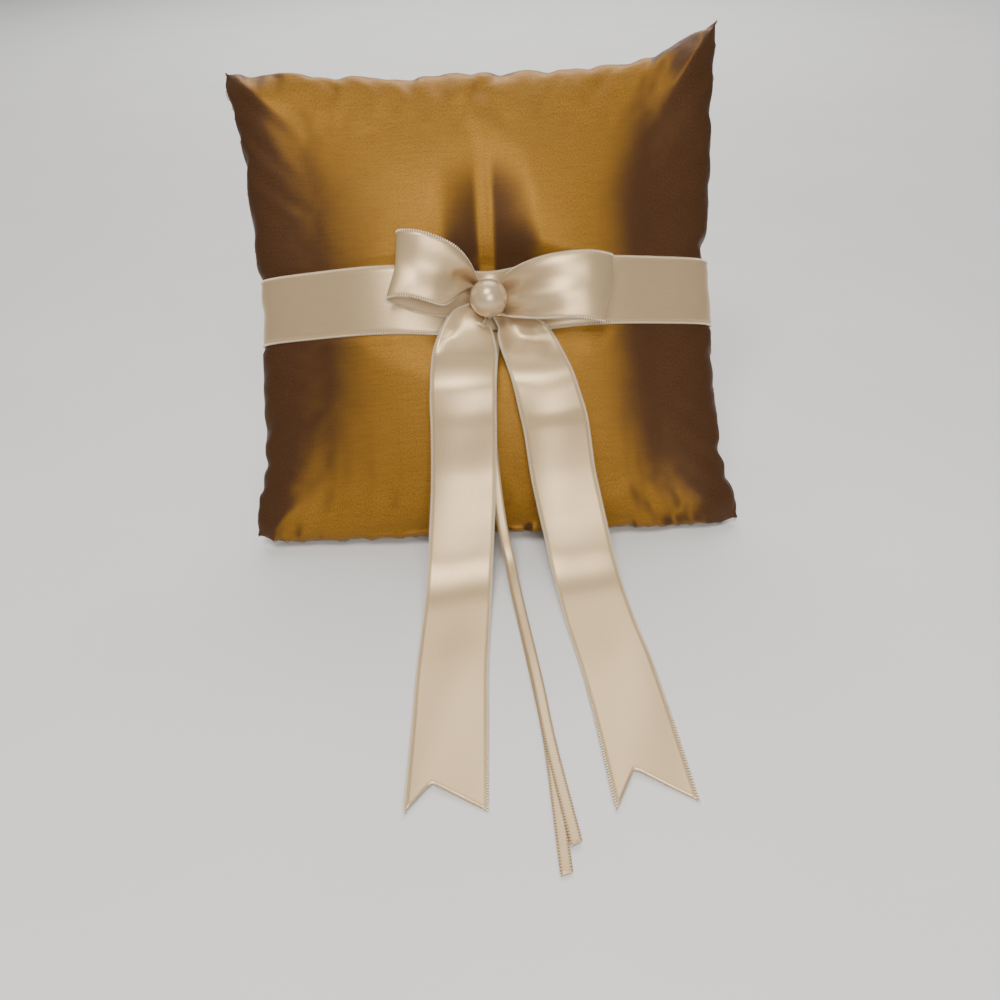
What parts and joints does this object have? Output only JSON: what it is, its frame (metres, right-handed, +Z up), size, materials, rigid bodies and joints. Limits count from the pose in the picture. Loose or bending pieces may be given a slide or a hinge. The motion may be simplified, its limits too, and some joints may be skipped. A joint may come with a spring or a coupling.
{
  "type": "ring bearer pillow",
  "caption": "Square stuffed taffeta pillow leaning back on its bottom edge, with a satin band, a looped bow with long tails, a sewn pearl and narrow ribbons for tying on rings.",
  "frame": {"origin": "middle of the flat patch that the pillow stands on, just behind its bottom seam", "axes": "+X to the right across the front, +Y backwards, +Z up; the front faces -Y and leans back 35 degrees"},
  "size_m": [0.2, 0.2533, 0.1581],
  "materials": {
    "cover_taffeta": "shot taffeta with a fine woven grain and a soft metallic sheen",
    "polyester_fill": "matte fluffy fibre",
    "brown_thread": "matte twisted thread",
    "satin_ribbon": "single-face satin with woven edges",
    "tie_ribbon": "narrow satin",
    "cream_thread": "matte twisted thread",
    "pearl_nacre": "imitation pearl, smooth with a soft gloss"
  },
  "bodies": {
    "pillow": {"cover_front_panel": "cover_taffeta", "cover_back_panel": "cover_taffeta", "fibrefill_core": "polyester_fill", "seam_thread": "brown_thread", "closing_thread": "brown_thread", "waist_band": "satin_ribbon", "band_stitches": "cream_thread", "bow_loop_left": "satin_ribbon", "bow_loop_right": "satin_ribbon", "bow_gather": "satin_ribbon", "binding_thread": "cream_thread", "pearl_bead": "pearl_nacre", "pearl_thread": "cream_thread"},
    "long_tie": {"ring_tie_long": "tie_ribbon"},
    "short_tie": {"ring_tie_short": "tie_ribbon"},
    "left_tail": {"bow_tail_left": "satin_ribbon"},
    "right_tail": {"bow_tail_right": "satin_ribbon"}
  },
  "joints": [
    {"name": "long_tie_lift", "type": "hinge", "parent": "pillow", "child": "long_tie", "pos_m": [0, 0.02598, 0.07568], "axis": [-1, 0, 0], "range_deg": [0, 14]},
    {"name": "short_tie_lift", "type": "hinge", "parent": "long_tie", "child": "short_tie", "pos_m": [0, 0.02598, 0.07568], "axis": [-1, 0, 0], "range_deg": [0, 14]},
    {"name": "left_tail_lift", "type": "hinge", "parent": "short_tie", "child": "left_tail", "pos_m": [0, 0.02598, 0.07568], "axis": [-1, 0, 0], "range_deg": [0, 14]},
    {"name": "right_tail_lift", "type": "hinge", "parent": "pillow", "child": "right_tail", "pos_m": [0, 0.02598, 0.07568], "axis": [-1, 0, 0], "range_deg": [0, 42]}
  ]
}
